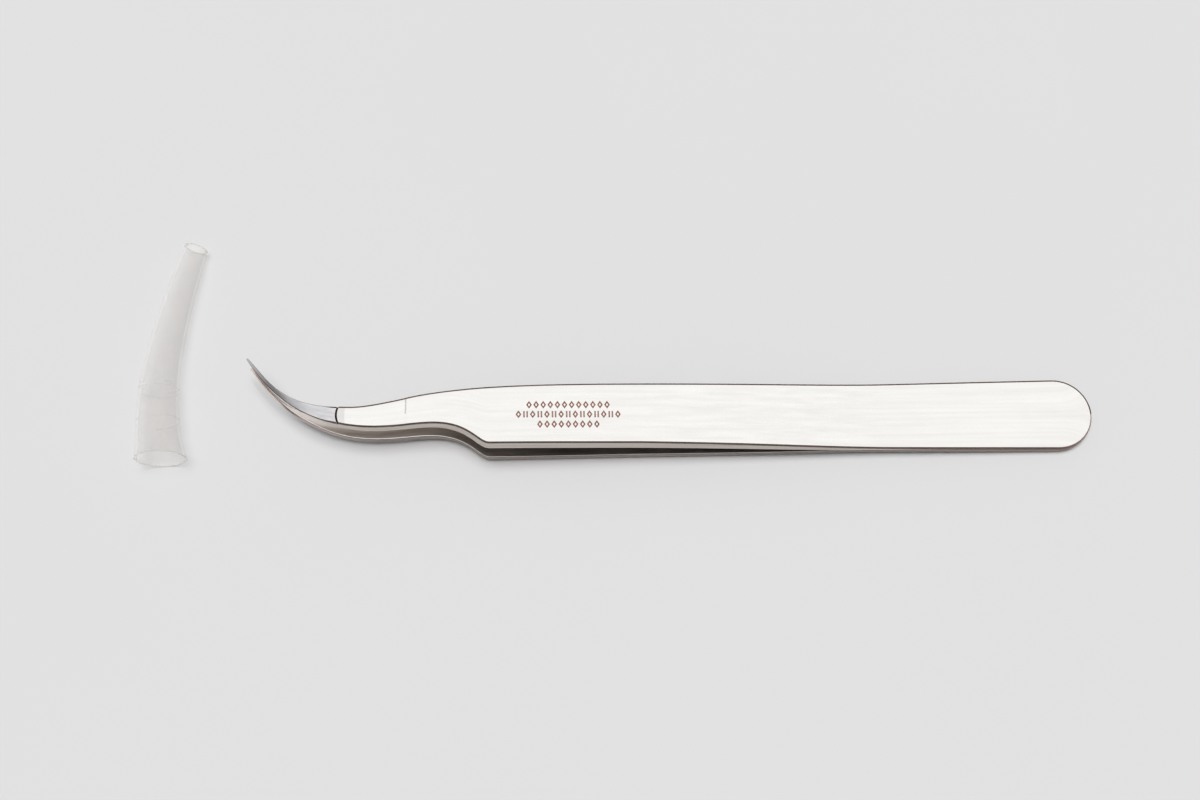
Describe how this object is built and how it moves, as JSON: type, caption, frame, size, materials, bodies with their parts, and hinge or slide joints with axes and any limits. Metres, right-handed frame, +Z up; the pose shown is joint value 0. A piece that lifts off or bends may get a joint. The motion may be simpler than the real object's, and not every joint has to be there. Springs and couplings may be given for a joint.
{
  "type": "stamp tongs",
  "caption": "Curved fine-point spring tongs of brushed steel, two arms welded at a round butt, with a soft clear sleeve that guards the points.",
  "frame": {"origin": "centre of the footprint of the tongs and their tip guard, on the surface that they lie on", "axes": "+X from the points towards the round butt end, +Y to the side that the points curve to, +Z up"},
  "size_m": [0.1304, 0.0332, 0.008],
  "materials": {
    "steel": "lengthwise satin brushing with polished edges",
    "weld": "plain spot weld, sealed between the arms",
    "guard": "soft milky clear plastic"
  },
  "bodies": {
    "butt": {"upper_butt": "steel", "lower_butt": "steel", "weld_nuggets": "weld"},
    "upper_arm": {"upper_arm": "steel"},
    "lower_arm": {"lower_arm": "steel"},
    "tip_guard": {"tip_guard": "guard"}
  },
  "joints": [
    {"name": "upper_arm_flex", "type": "hinge", "parent": "butt", "child": "upper_arm", "pos_m": [0.03108, -0.0118, 0.00234], "axis": [0, -1, 0], "range_deg": [0, 1.17], "stiffness_Nm_per_rad": 5},
    {"name": "lower_arm_flex", "type": "hinge", "parent": "butt", "child": "lower_arm", "pos_m": [0.03107, -0.0118, 0.00197], "axis": [0, 1, 0], "range_deg": [0, 1.17], "stiffness_Nm_per_rad": 5},
    {"name": "guard_lift", "type": "slide", "parent": "butt", "child": "tip_guard", "axis": [0, 0, 1], "range_m": [0, 0.03]}
  ],
  "couplings": [
    {"joint": "lower_arm_flex", "follows": "upper_arm_flex", "ratio": 1}
  ]
}
